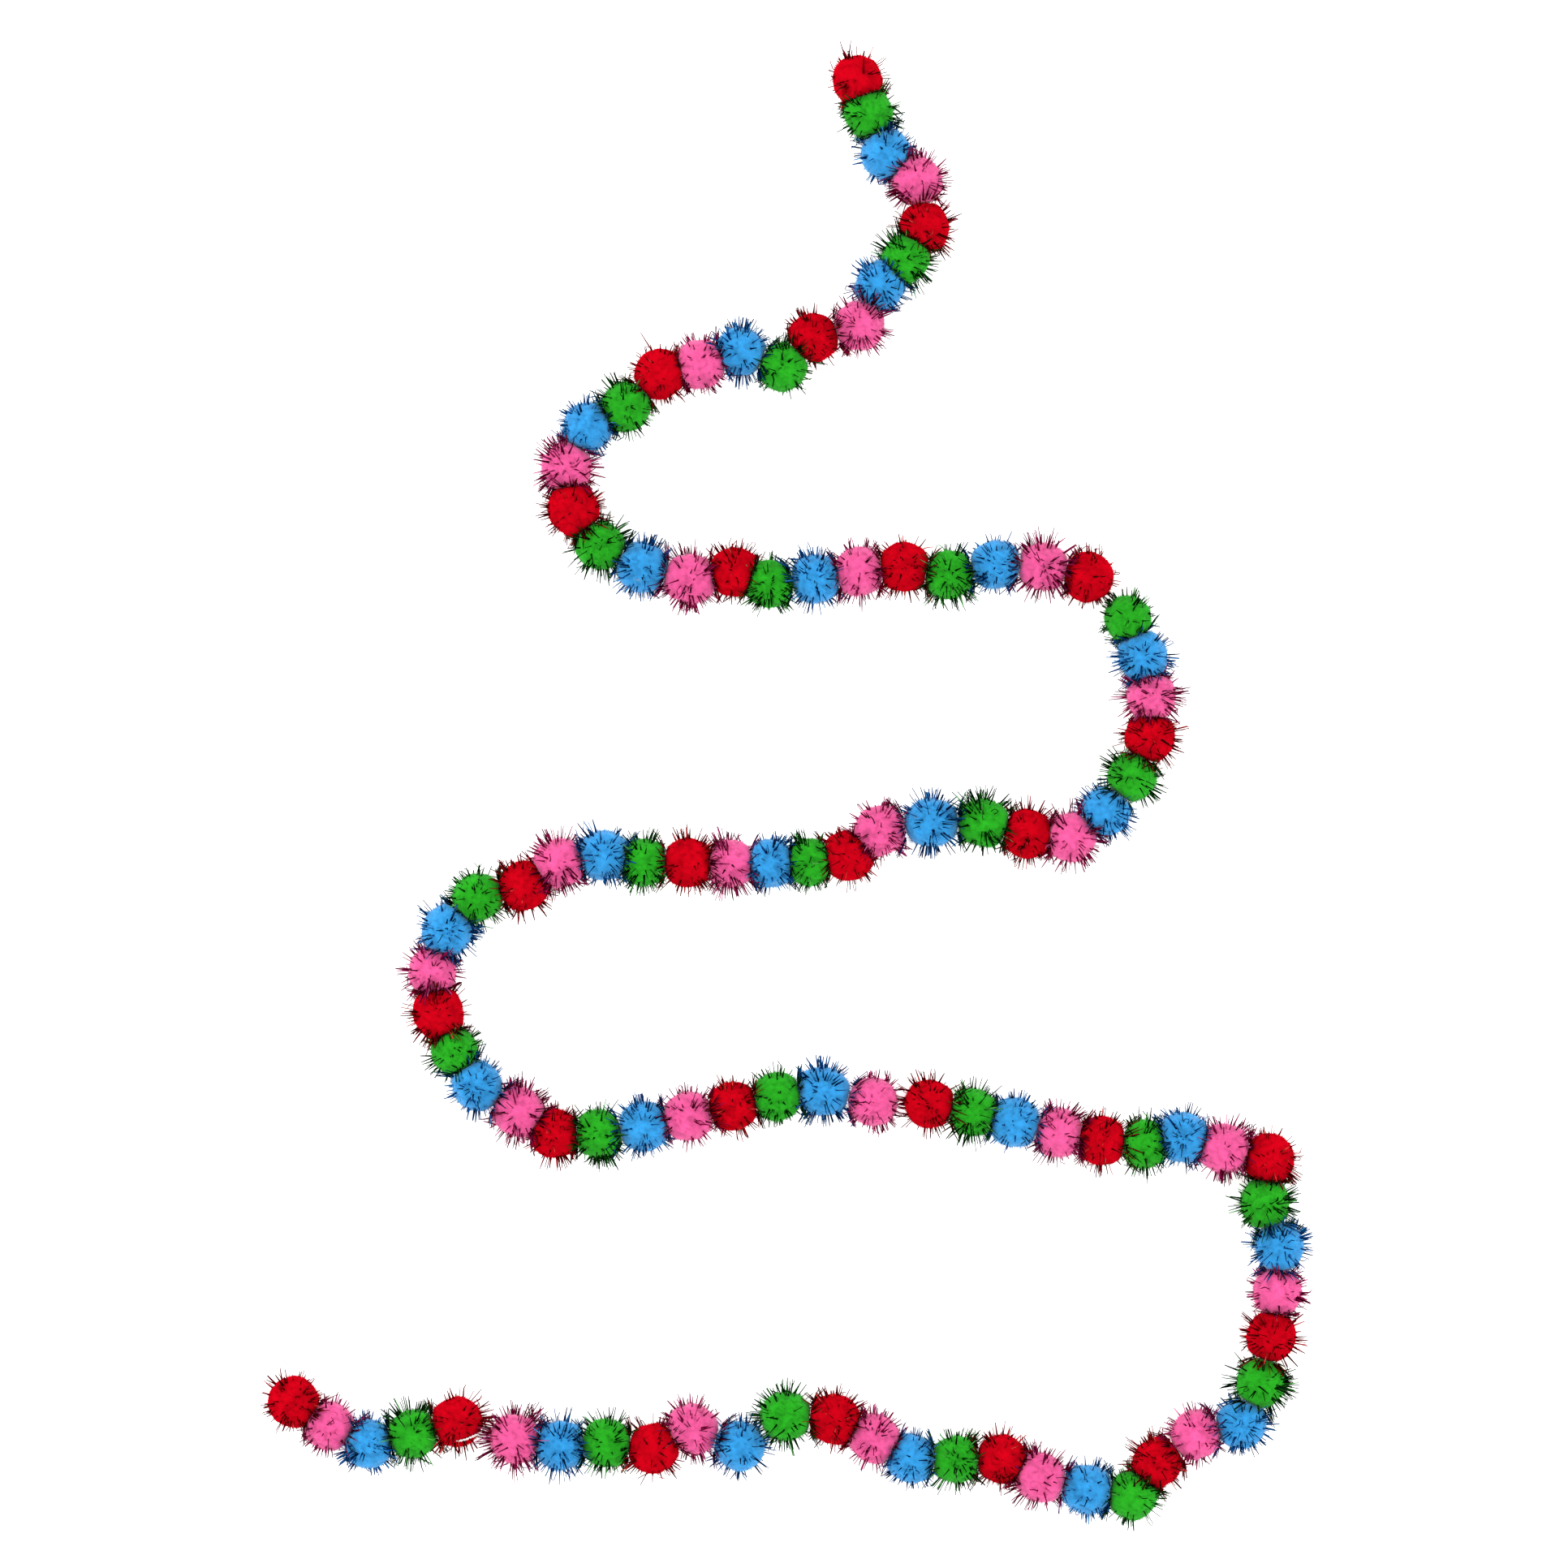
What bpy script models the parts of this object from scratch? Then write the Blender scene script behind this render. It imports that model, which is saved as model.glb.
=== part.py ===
# Pom-pom garland: round balls of dense pile with tinsel strips, strung tightly on one thin thread and laid
# out on a flat surface, in a line that winds from side to side.
import math
import random

import bmesh
import bpy
from mathutils import Matrix, Vector

MM = 0.001

# Driving dimensions
BALL_RADIUS = 10.4 * MM        # to the corners of the ball's pile
FLAT_SHARE = 0.93              # of that radius, to the middle of the flat faces between the corners
UNEVENNESS = 0.25 * MM         # how far the corners of a ball's pile rise and fall
LIFT = 0.3 * MM                # of the lowest corners that the ball doesn't rest on
PRESSED_REACH = 0.7 * MM       # how far two fused balls reach into each other
GAP = 0.3 * MM                 # between pieces that touch
WIDE_GAP = 20.6 * MM           # balls further apart than this aren't fused
BALLS_IN_A_NODE = 2
THREAD_RADIUS = 0.5 * MM
THREAD_ROUNDNESS = 2           # bevel resolution, which gives eight sides
THREAD_POINTS = 78
THREAD_HEIGHT = 9.7 * MM       # of its middle over the surface
WAY_RADIUS = 1.15 * MM         # of the square way through the balls, to its corners
WAY_ROUNDNESS = 0              # bevel resolution, which gives four sides
STRANDS_OF_A_BALL = (3, 3, 3, 3, 3, 3, 2)   # repeated along the garland
STRAND_LENGTH = (4.0 * MM, 5.4 * MM)
STRAND_ROOT = 0.36             # of the ball's face that a strand grows from
STRANDS_APART = (1.2, 0.8)     # least angle between two strands of a ball, first and second try
STEEPEST_STRAND = 0.8          # upward part of a strand's direction
STRAND_FLOOR = 2.0 * MM        # a strand's tip stays this far above the surface
STRAND_BESIDE = 0.6 * MM       # and this far inside the plane where two balls meet

# The garland's middle in the route's own millimetres, so that the part stands centred on its origin
ROUTE_MIDDLE = (315.95, 314.24)

# The string's route from the top end: ball number, then its place across and up, in millimetres.
# The balls between two rows are evenly spaced along the smooth curve through the rows.
ROUTE = (
    # ball, across, up
    (1, 345, 599),
    (5, 372, 539),
    (7, 354, 516),
    (8, 346, 500),
    (9, 327, 495),
    (10, 315, 483),
    (11, 298, 490),
    (16, 228, 443),
    (18, 241, 412),
    (20, 278, 398),
    (22, 310, 396),
    (25, 364, 403),
    (29, 438, 399),
    (30, 454, 382),
    (33, 463, 335),
    (36, 431, 294),
    (38, 396, 300),
    (40, 354, 297),
    (41, 342, 287),
    (45, 277, 284),
    (47, 243, 287),
    (50, 192, 270),
    (52, 174, 240),
    (55, 192, 194),
    (57, 223, 175),
    (63, 331, 192),
    (65, 374, 187),
    (69, 443, 172),
    (73, 511, 165),
    (74, 509, 147),
    (75, 515, 130),
    (79, 500, 58),
    (80, 482, 54),
    (82, 456, 29),
    (85, 403, 44),
    (87, 367, 44),
    (89, 336, 60),
    (91, 298, 49),
    (92, 278, 56),
    (93, 263, 48),
    (96, 207, 52),
    (97, 184, 59),
    (99, 148, 50),
    (101, 118, 67),
)

# Balls that are squeezed off the string's line: ball number, then how far across and up, in millimetres
JOGS = (
    # ball, across, up
    (2, -3, 1),
    (3, -4, -1),
    (4, 1, 3),
    (13, -1, 4),
    (15, -2, 3),
    (21, 2, 5),
    (26, -1, -4),
    (46, -1, -2),
    (49, 3, -4),
    (56, 3, 2),
    (64, -1, -3),
    (71, -1, 3),
    (72, -2, -1),
    (81, -4, 2),
    (84, -2, -2),
    (90, -1, 6),
    (94, 0, 3),
)

# Colours of the repeat, in order along the string: name, colour, size beside a ball of BALL_RADIUS
REPEAT = (
    ("red", (0.55, 0.0, 0.02), 1.00),
    ("green", (0.05, 0.38, 0.04), 0.96),
    ("blue", (0.06, 0.32, 0.78), 0.99),
    ("pink", (0.90, 0.12, 0.38), 1.00),
)
THREAD_COLOUR = (0.85, 0.85, 0.82)
PILE_SHINE = 0.75              # roughness
THREAD_SHINE = 0.6

FINE_STEPS = 24                # steps of the curve between two rows of the route


def remove_everything():
    for thing in list(bpy.data.objects):
        bpy.data.objects.remove(thing, do_unlink=True)


def plain_material(name, colour, roughness):
    material = bpy.data.materials.new(name)
    material.use_nodes = True
    shader = material.node_tree.nodes["Principled BSDF"]
    shader.inputs["Base Color"].default_value = (*colour, 1.0)
    shader.inputs["Roughness"].default_value = roughness
    shader.inputs["Metallic"].default_value = 0.0
    return material


def smooth_point(before, start, end, after, share):
    """A point of the centripetal Catmull-Rom curve from start to end."""
    knots = [0.0]
    for a, b in ((before, start), (start, end), (end, after)):
        knots.append(knots[-1] + math.sqrt((b - a).length))
    t = knots[1] + share * (knots[2] - knots[1])

    def mix(a, b, first, last):
        return a.lerp(b, (t - first) / (last - first))

    left = mix(before, start, knots[0], knots[1])
    middle = mix(start, end, knots[1], knots[2])
    right = mix(end, after, knots[2], knots[3])
    earlier = mix(left, middle, knots[0], knots[2])
    later = mix(middle, right, knots[1], knots[3])
    return mix(earlier, later, knots[1], knots[2])


def route_stretches():
    """The fine points of the string between each two rows of the route, in metres on the surface."""
    places = [Vector((x - ROUTE_MIDDLE[0], y - ROUTE_MIDDLE[1], 0.0)) * MM for _, x, y in ROUTE]
    places = [2 * places[0] - places[1], *places, 2 * places[-1] - places[-2]]
    stretches = []
    for i in range(1, len(places) - 2):
        nearby = places[i - 1:i + 3]
        stretches.append([smooth_point(*nearby, step / FINE_STEPS) for step in range(FINE_STEPS + 1)])
    return stretches


def evenly_along(points, count):
    """Count points at even distances along a line of points, its two ends included."""
    distances = [0.0]
    for a, b in zip(points, points[1:]):
        distances.append(distances[-1] + (b - a).length)
    found, k = [], 0
    for i in range(count):
        wanted = distances[-1] * i / (count - 1)
        while k < len(points) - 2 and distances[k + 1] < wanted:
            k += 1
        share = (wanted - distances[k]) / (distances[k + 1] - distances[k])
        found.append(points[k].lerp(points[k + 1], share))
    return found


def ball_places(stretches):
    """The middle of each ball over the surface, in order, still at height 0."""
    places = []
    for (ball, _, _), (next_ball, _, _), stretch in zip(ROUTE, ROUTE[1:], stretches):
        places += evenly_along(stretch, next_ball - ball + 1)[:-1]
    places.append(stretches[-1][-1])
    for ball, across, up in JOGS:
        places[ball - 1] = places[ball - 1] + Vector((across, up, 0.0)) * MM
    return places


def standing_ball(radius, spin):
    """A ball turned so that one of its faces lies level below it, and that face's height."""
    shape = bmesh.new()
    bmesh.ops.create_icosphere(shape, subdivisions=2, radius=radius)
    shape.faces.ensure_lookup_table()
    down = Vector((0.0, 0.0, -1.0))
    turn = shape.faces[0].normal.rotation_difference(down).to_matrix().to_4x4()
    bmesh.ops.transform(shape, matrix=Matrix.Rotation(spin, 4, "Z") @ turn, verts=shape.verts)
    base = min(vertex.co.z for vertex in shape.verts)
    return shape, base


def make_uneven(shape, base, chance):
    """Moves the ball's corners in and out a little, except those that it rests on."""
    for vertex in shape.verts:
        if vertex.co.z > base + LIFT:
            vertex.co += vertex.co.normalized() * chance.uniform(-UNEVENNESS, UNEVENNESS)
            vertex.co.z = max(vertex.co.z, base + LIFT)
        else:
            vertex.co.z = base


def pull_towards(shape, direction, reach):
    """Pulls the side of a ball that faces its fused neighbour out to the given reach."""
    flat_reach = FLAT_SHARE * max(vertex.co.dot(direction) for vertex in shape.verts)
    for vertex in shape.verts:
        along = vertex.co.dot(direction)
        if along > 0.0 and reach > flat_reach:
            vertex.co += direction * along * (reach / flat_reach - 1.0)


def strand_faces(shape, meetings, height, count, chance):
    """The faces that the strands grow from: well apart, clear of the neighbours and of the surface."""
    chosen = []
    faces = list(shape.faces)
    chance.shuffle(faces)
    for apart in STRANDS_APART:
        for face in faces:
            outward = face.calc_center_median()
            tip = outward + outward.normalized() * STRAND_LENGTH[1]
            ends = [tip, *(corner.co for corner in face.verts)]
            low = tip.z + height < STRAND_FLOOR
            steep = outward.normalized().z > STEEPEST_STRAND
            pressed = any(end.dot(way) > reach - STRAND_BESIDE for end in ends for way, reach in meetings)
            crowded = any(outward.angle(other.calc_center_median()) < apart for other in chosen)
            if len(chosen) < count and not (low or steep or pressed or crowded):
                chosen.append(face)
    return chosen


def grow_strand(shape, face, length):
    """Pulls one three-sided strand out of the middle of a face."""
    middle = face.calc_center_median()
    way = middle.normalized()
    bmesh.ops.inset_region(shape, faces=[face], thickness=0.0, use_even_offset=False)
    for vertex in face.verts:
        vertex.co = middle.lerp(vertex.co, STRAND_ROOT)
    tip = bmesh.ops.poke(shape, faces=[face])["verts"][0]
    tip.co = middle + way * length


def cut_flat(shape, direction, distance):
    """Presses a ball flat against its neighbour, where the two would overlap."""
    cut = bmesh.ops.bisect_plane(
        shape,
        geom=[*shape.verts, *shape.edges, *shape.faces],
        dist=1e-7,
        plane_co=direction * distance,
        plane_no=direction,
        clear_outer=True,
    )
    rim = [edge for edge in cut["geom_cut"] if isinstance(edge, bmesh.types.BMEdge)]
    if rim:
        bmesh.ops.holes_fill(shape, edges=rim, sides=0)


def ball_shape(number, places, fused_with, chance):
    """One ball in its place on the surface, with its strands, pressed against its two neighbours."""
    size = REPEAT[(number - 1) % len(REPEAT)][2]
    shape, base = standing_ball(BALL_RADIUS * size, chance.uniform(0.0, 2.0 * math.pi))
    make_uneven(shape, base, chance)
    meetings, cuts = [], []
    for other in (number - 1, number + 1):
        if 1 <= other <= len(places):
            towards = places[other - 1] - places[number - 1]
            half = towards.length / 2
            way = towards.normalized()
            meetings.append((way, half))
            if other in fused_with:
                pull_towards(shape, way, half + PRESSED_REACH)
            else:
                cuts.append((way, half - GAP / 2))
    count = STRANDS_OF_A_BALL[number % len(STRANDS_OF_A_BALL)]
    for face in strand_faces(shape, meetings, -base, count, chance):
        grow_strand(shape, face, chance.uniform(*STRAND_LENGTH))
    for way, reach in cuts:
        cut_flat(shape, way, reach)
    colour = (number - 1) % len(REPEAT)
    for face in shape.faces:
        face.material_index = colour
    bmesh.ops.translate(shape, vec=places[number - 1] + Vector((0.0, 0.0, -base)), verts=shape.verts)
    return shape


def groups_of_balls(places):
    """The numbers of the balls in each node: twos that touch, and single ones beside a wide gap."""
    groups = [[1]]
    for number in range(2, len(places) + 1):
        apart = (places[number - 1] - places[number - 2]).length
        if apart < WIDE_GAP and len(groups[-1]) < BALLS_IN_A_NODE:
            groups[-1].append(number)
        else:
            groups.append([number])
    return groups


def node_name(group):
    kind = "pompom" if len(group) == 1 else "pompoms"
    return "_".join([kind, *(f"{number:03d}" for number in group)])


def tube(name, points, radius, roundness):
    """A tube with closed ends along a line of points."""
    data = bpy.data.curves.new(name, "CURVE")
    data.dimensions = "3D"
    data.bevel_depth = radius
    data.bevel_resolution = roundness
    data.use_fill_caps = True
    spline = data.splines.new("POLY")
    spline.points.add(len(points) - 1)
    for point, place in zip(spline.points, points):
        point.co = (*place, 1.0)
    thing = bpy.data.objects.new(name, data)
    bpy.context.scene.collection.objects.link(thing)
    return thing


def as_mesh(curve, name):
    """A mesh object of the curve's tube. The curve itself is removed."""
    bpy.context.view_layer.update()
    evaluated = curve.evaluated_get(bpy.context.evaluated_depsgraph_get())
    mesh = bpy.data.meshes.new_from_object(evaluated)
    bpy.data.objects.remove(curve, do_unlink=True)
    thing = bpy.data.objects.new(name, mesh)
    bpy.context.scene.collection.objects.link(thing)
    return thing


def thread_points(stretches, height):
    """The thread's points, at even distances along the whole string, in the middle of the balls."""
    line = [stretches[0][0], *(point for stretch in stretches for point in stretch[1:])]
    return [point + Vector((0.0, 0.0, height)) for point in evenly_along(line, THREAD_POINTS)]


def build_thread(points):
    thread = tube("thread", points, THREAD_RADIUS, THREAD_ROUNDNESS)
    thread.data.materials.append(plain_material("thread", THREAD_COLOUR, THREAD_SHINE))


def thread_way(points):
    """The hidden cutter that makes way for the thread, a little wider and longer than it."""
    first = points[0] + (points[0] - points[1]).normalized() * GAP
    last = points[-1] + (points[-1] - points[-2]).normalized() * GAP
    way = as_mesh(tube("way_line", [first, *points[1:-1], last], WAY_RADIUS, WAY_ROUNDNESS), "thread_way")
    way.hide_render = True
    way.display_type = "WIRE"
    return way


def build_balls(places, way):
    pile = [plain_material(f"{name}_pile", colour, PILE_SHINE) for name, colour, _ in REPEAT]
    for group in groups_of_balls(places):
        mesh = bpy.data.meshes.new(node_name(group))
        together = bmesh.new()
        for number in group:
            shape = ball_shape(number, places, group, random.Random(number))
            one = bpy.data.meshes.new("one_ball")
            shape.to_mesh(one)
            together.from_mesh(one)
            bpy.data.meshes.remove(one)
            shape.free()
        together.to_mesh(mesh)
        together.free()
        mesh.shade_smooth()
        for material in pile:
            mesh.materials.append(material)
        balls = bpy.data.objects.new(node_name(group), mesh)
        bpy.context.scene.collection.objects.link(balls)
        cut = balls.modifiers.new("thread_way", "BOOLEAN")
        cut.operation = "DIFFERENCE"
        cut.solver = "EXACT"
        cut.object = way
        cut.use_self = len(group) > 1


def build_garland():
    remove_everything()
    stretches = route_stretches()
    places = ball_places(stretches)
    points = thread_points(stretches, THREAD_HEIGHT)
    build_thread(points)
    build_balls(places, thread_way(points))


build_garland()
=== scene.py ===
# %% [markdown]
# # A tinsel pom-pom garland
#
# The real object is a thread with a hundred and one craft pom-poms pushed tightly onto it. Each pom-pom
# is a ball of soft pile, with flat strips of foil, called tinsel, that stand out of the pile. The colours
# repeat along the thread: red, green, blue, pink. The garland lies on a pale table in a long line that
# winds from side to side.
#
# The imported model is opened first. It holds a plain solid for each two balls and for the thread, at their
# real size and place. The lesson then dresses those solids with pile and tinsel.

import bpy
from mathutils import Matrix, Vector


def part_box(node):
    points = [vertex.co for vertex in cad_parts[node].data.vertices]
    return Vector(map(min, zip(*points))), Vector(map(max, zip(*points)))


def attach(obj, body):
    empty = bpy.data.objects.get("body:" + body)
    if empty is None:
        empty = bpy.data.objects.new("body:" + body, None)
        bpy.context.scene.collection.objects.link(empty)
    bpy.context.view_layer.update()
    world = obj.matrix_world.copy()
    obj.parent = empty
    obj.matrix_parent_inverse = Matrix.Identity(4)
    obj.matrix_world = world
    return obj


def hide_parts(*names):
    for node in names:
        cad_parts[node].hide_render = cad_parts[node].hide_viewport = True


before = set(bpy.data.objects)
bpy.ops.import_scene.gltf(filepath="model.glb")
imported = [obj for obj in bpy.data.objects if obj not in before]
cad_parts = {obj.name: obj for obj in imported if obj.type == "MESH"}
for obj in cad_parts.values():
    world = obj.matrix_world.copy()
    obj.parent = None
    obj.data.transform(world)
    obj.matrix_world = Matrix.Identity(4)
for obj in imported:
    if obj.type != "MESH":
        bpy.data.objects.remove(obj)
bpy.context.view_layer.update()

# %% Modules that the lesson uses
import math
import re
from types import SimpleNamespace

import bmesh
import bpy
import numpy as np
from mathutils import Vector

MM = 0.001
UP = np.array((0.0, 0.0, 1.0))

# %% [markdown]
# ## The line of the string
#
# The string's line is what gives the garland its shape. It could be drawn by hand as a curve, but then
# each ball would have to be pushed along it by eye. Here a short table names the balls where the line
# turns, and a smooth curve runs through them. The balls in between are spread evenly along it, as pushed
# balls spread on a thread.

# %% Where the line turns
ROUTE_MIDDLE = (315.95, 314.24)
ROUTE = (
    # ball, across, up
    (1, 345, 599),
    (5, 372, 539),
    (7, 354, 516),
    (8, 346, 500),
    (9, 327, 495),
    (10, 315, 483),
    (11, 298, 490),
    (16, 228, 443),
    (18, 241, 412),
    (20, 278, 398),
    (22, 310, 396),
    (25, 364, 403),
    (29, 438, 399),
    (30, 454, 382),
    (33, 463, 335),
    (36, 431, 294),
    (38, 396, 300),
    (40, 354, 297),
    (41, 342, 287),
    (45, 277, 284),
    (47, 243, 287),
    (50, 192, 270),
    (52, 174, 240),
    (55, 192, 194),
    (57, 223, 175),
    (63, 331, 192),
    (65, 374, 187),
    (69, 443, 172),
    (73, 511, 165),
    (74, 509, 147),
    (75, 515, 130),
    (79, 500, 58),
    (80, 482, 54),
    (82, 456, 29),
    (85, 403, 44),
    (87, 367, 44),
    (89, 336, 60),
    (91, 298, 49),
    (92, 278, 56),
    (93, 263, 48),
    (96, 207, 52),
    (97, 184, 59),
    (99, 148, 50),
    (101, 118, 67),
)

# %% Balls that are squeezed off the line
JOGS = (
    # ball, across, up
    (2, -3, 1),
    (3, -4, -1),
    (4, 1, 3),
    (13, -1, 4),
    (15, -2, 3),
    (21, 2, 5),
    (26, -1, -4),
    (46, -1, -2),
    (49, 3, -4),
    (56, 3, 2),
    (64, -1, -3),
    (71, -1, 3),
    (72, -2, -1),
    (81, -4, 2),
    (84, -2, -2),
    (90, -1, 6),
    (94, 0, 3),
)

# %% The smooth line through the turns
FINE_STEPS = 24


def between(a, b, share):
    return a + (b - a) * share


def smooth_point(before, start, end, after, share):
    """A point of the centripetal Catmull-Rom curve from start to end."""
    knots = [0.0]
    for a, b in ((before, start), (start, end), (end, after)):
        knots.append(knots[-1] + math.sqrt(math.dist(a, b)))
    t = between(knots[1], knots[2], share)

    def mix(a, b, first, last):
        return between(a, b, (t - first) / (last - first))

    left = mix(before, start, knots[0], knots[1])
    middle = mix(start, end, knots[1], knots[2])
    right = mix(end, after, knots[2], knots[3])
    earlier = mix(left, middle, knots[0], knots[2])
    later = mix(middle, right, knots[1], knots[3])
    return mix(earlier, later, knots[1], knots[2])


def route_stretches():
    """The fine points of the string between each two rows of the route, on the table."""
    corners = [np.array((x - ROUTE_MIDDLE[0], y - ROUTE_MIDDLE[1], 0.0)) * MM for _, x, y in ROUTE]
    corners = [2 * corners[0] - corners[1], *corners, 2 * corners[-1] - corners[-2]]
    shares = [step / FINE_STEPS for step in range(FINE_STEPS + 1)]
    return [
        np.array([smooth_point(*corners[i - 1:i + 3], share) for share in shares])
        for i in range(1, len(corners) - 2)
    ]


def evenly_along(points, count):
    """Count points at even distances along a line of points, its two ends included."""
    distances = np.concatenate([[0.0], np.cumsum(np.linalg.norm(np.diff(points, axis=0), axis=1))])
    wanted = np.linspace(0.0, distances[-1], count)
    return np.stack([np.interp(wanted, distances, points[:, axis]) for axis in range(3)], axis=1)


stretches = route_stretches()
line = np.concatenate([stretches[0][:1], *(stretch[1:] for stretch in stretches)])
print("string", round(float(np.linalg.norm(np.diff(line, axis=0), axis=1).sum()), 3), "m")

# %% The place of each ball
places = []
for (ball, _, _), (next_ball, _, _), stretch in zip(ROUTE, ROUTE[1:], stretches):
    places.extend(evenly_along(stretch, next_ball - ball + 1)[:-1])
places.append(stretches[-1][-1])
for ball, across, up in JOGS:
    places[ball - 1] = places[ball - 1] + np.array((across, up, 0.0)) * MM
places = np.array(places)

single = {name: int(name.split("_")[1]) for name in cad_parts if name.startswith("pompom_")}
off = []
for name, number in single.items():
    low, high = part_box(name)
    off.append(math.dist(((low + high) / 2)[:2], places[number - 1][:2]))
print("balls", len(places), "- single solids lie within", round(max(off) / MM, 1), "mm of their places")

# %% [markdown]
# ## The four colours of ball
#
# Every fourth ball has the same colour. The balls aren't quite alike: the green pile is trimmed a little
# closer, and the red balls carry less tinsel than the others. A short table holds what differs, so that
# one set of functions can make all of them. Within a colour, chance makes some balls a little larger or
# richer in tinsel.

# %% The repeat along the string
REPEAT = [
    SimpleNamespace(
        name=name,
        radius=radius * MM,
        fuzz=fuzz,
        straight=straight,
        bent=bent,
        fan=fan,
        strip=(shortest * MM, longest * MM),
    )
    for name, radius, fuzz, straight, bent, fan, shortest, longest in (
        # name, pile radius, fuzz, straight and bent strips, strips at a meeting, least and most strip length
        ("red", 10.40, 0.75, 90, 10, 18, 1.2, 5.0),
        ("green", 10.05, 1.05, 104, 14, 19, 1.6, 5.3),
        ("blue", 10.20, 1.15, 112, 12, 19, 1.7, 4.7),
        ("pink", 10.20, 1.15, 110, 12, 19, 1.9, 5.2),
    )
]
SIZES_VARY = 0.018             # of the radius, from ball to ball
MIDDLE_HEIGHT = 9.55 * MM      # of a ball's middle over the table, so that its pile is pressed flat there
MEETING_DISTANCE = 21.2 * MM   # balls closer than this touch each other
CUP = 42.0                     # per metre, how strongly the hardest meeting is curved
SHIFT = 0.35 * MM              # how far a meeting can lie off the half way
WAVES = 7                      # slow waves that make a ball's pile uneven
RICHNESS = (0.80, 1.18)        # of a ball's tinsel, against the others of its colour
STRIKING = {67: 0.65, 96: 1.45, 97: 1.15, 98: 1.20}   # the balls with the poorest and the richest tinsel


def make_meeting(number, other):
    """Which way a neighbour lies, how far off the two balls meet, and how the meeting is curved."""
    apart = places[other - 1] - places[number - 1]
    distance = float(np.linalg.norm(apart))
    shared = np.random.default_rng(1000 + min(number, other))
    cup, shift = shared.uniform(-1.0, 1.0, 2) * (1.0 if number < other else -1.0)
    return SimpleNamespace(
        towards=apart / distance,
        distance=distance,
        half=distance / 2 + SHIFT * shift,
        cup=CUP * cup,
    )


def make_ball(number):
    """What the later steps have to know about one ball."""
    chance = np.random.default_rng(number)
    kind = REPEAT[(number - 1) % len(REPEAT)]
    apart = np.linalg.norm(places - places[number - 1], axis=1)
    near = [k + 1 for k in np.flatnonzero(apart < MEETING_DISTANCE) if k != number - 1]
    ways = chance.normal(size=(WAVES, 3))
    return SimpleNamespace(
        number=number,
        kind=kind,
        radius=kind.radius * (1.0 + SIZES_VARY * np.clip(chance.normal(), -1.6, 1.6)),
        middle=places[number - 1] + np.array((0.0, 0.0, MIDDLE_HEIGHT)),
        meetings=[make_meeting(number, other) for other in near],
        waves=ways / np.linalg.norm(ways, axis=1, keepdims=True) * chance.uniform(3.5, 10.0, (WAVES, 1)),
        phases=chance.uniform(0.0, 2.0 * math.pi, WAVES),
        rich=STRIKING.get(number, chance.uniform(*RICHNESS)),
        chance=chance,
    )


balls = [make_ball(number) for number in range(1, len(places) + 1)]
print("meetings", sum(len(ball.meetings) for ball in balls) // 2)

# %% [markdown]
# ## How far the pile reaches
#
# Pile is a brush of fibres, cut to one length, so a free pom-pom is round. On the string it isn't: its
# neighbours press it flat at both sides, the fibres there turn aside, and the ball grows shoulders around
# the pressed disc. The table flattens it a little from below. Two flat discs would give a joint as
# straight as a cut, so each meeting is a shallow cup, with one ball bulging into the other. Where two
# balls only just meet, the pile of each is drawn out a little towards the other. One function says how
# far the pile reaches in any direction, and everything that grows on a ball asks it, so that core, fibres
# and tinsel agree.

# %% The reach of the pile
UNEVEN = 0.20 * MM             # of the slow waves
SHOULDER = 0.60 * MM           # how far a hard-pressed ball bulges beside the pressed disc
SHOULDER_ANGLE = 42.0          # from the neighbour's direction, in degrees
SHOULDER_WIDTH = 16.0
PRESSED_FROM = 10.0 * MM       # half the distance at which two balls start to press
PRESSED_HARD = 8.7 * MM
DRAWN = 0.9 * MM               # how far pile is drawn towards a ball that it would just meet
LONGEST_STRETCH = 1.3 * MM     # of that pile, where the neighbour is farther away
BLEND = 0.50 * MM              # how softly the pile turns over the edge of a pressed disc


def slow_waves(ball, ways):
    """A smooth unevenness over the ball, from about -1 to 1."""
    return np.sin(ways @ ball.waves.T + ball.phases).sum(axis=1) / math.sqrt(WAVES)


def softly_least(a, b):
    """The smaller of two lengths, rounded off where they are nearly the same."""
    return -BLEND * np.logaddexp(-a / BLEND, -b / BLEND)


def meeting_reach(meeting, ways):
    """How far off the curved meeting with a neighbour lies in each direction."""
    facing = ways @ meeting.towards
    root = facing ** 2 - 4.0 * meeting.cup * meeting.half * (1.0 - facing ** 2)
    reach = 2.0 * meeting.half / np.maximum(facing + np.sqrt(np.maximum(root, 0.0)), 0.02)
    return np.where(root > 0.0, reach, 1.0)


def pile_reach(ball, ways, below=0.0):
    """How far the pile, or a layer below its free surface, reaches in each direction."""
    reach = ball.radius - below + UNEVEN * slow_waves(ball, ways)
    for meeting in ball.meetings:
        pressed = np.clip((PRESSED_FROM - meeting.distance / 2) / (PRESSED_FROM - PRESSED_HARD), 0.0, 1.3)
        angle = np.degrees(np.arccos(np.clip(ways @ meeting.towards, -1.0, 1.0)))
        reach = reach + SHOULDER * pressed * np.exp(-((angle - SHOULDER_ANGLE) / SHOULDER_WIDTH) ** 2)
    for meeting in ball.meetings:
        gap = np.clip(meeting.half - ball.radius + below + DRAWN, 0.0, LONGEST_STRETCH)
        facing = ways @ meeting.towards
        reach = reach + gap * np.clip(2.0 * facing - 0.8, 0.0, 1.0)
        reach = softly_least(reach, meeting_reach(meeting, ways))
    down = np.maximum(-ways[:, 2], 1e-2)
    return np.minimum(reach, ball.middle[2] / down)


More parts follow.
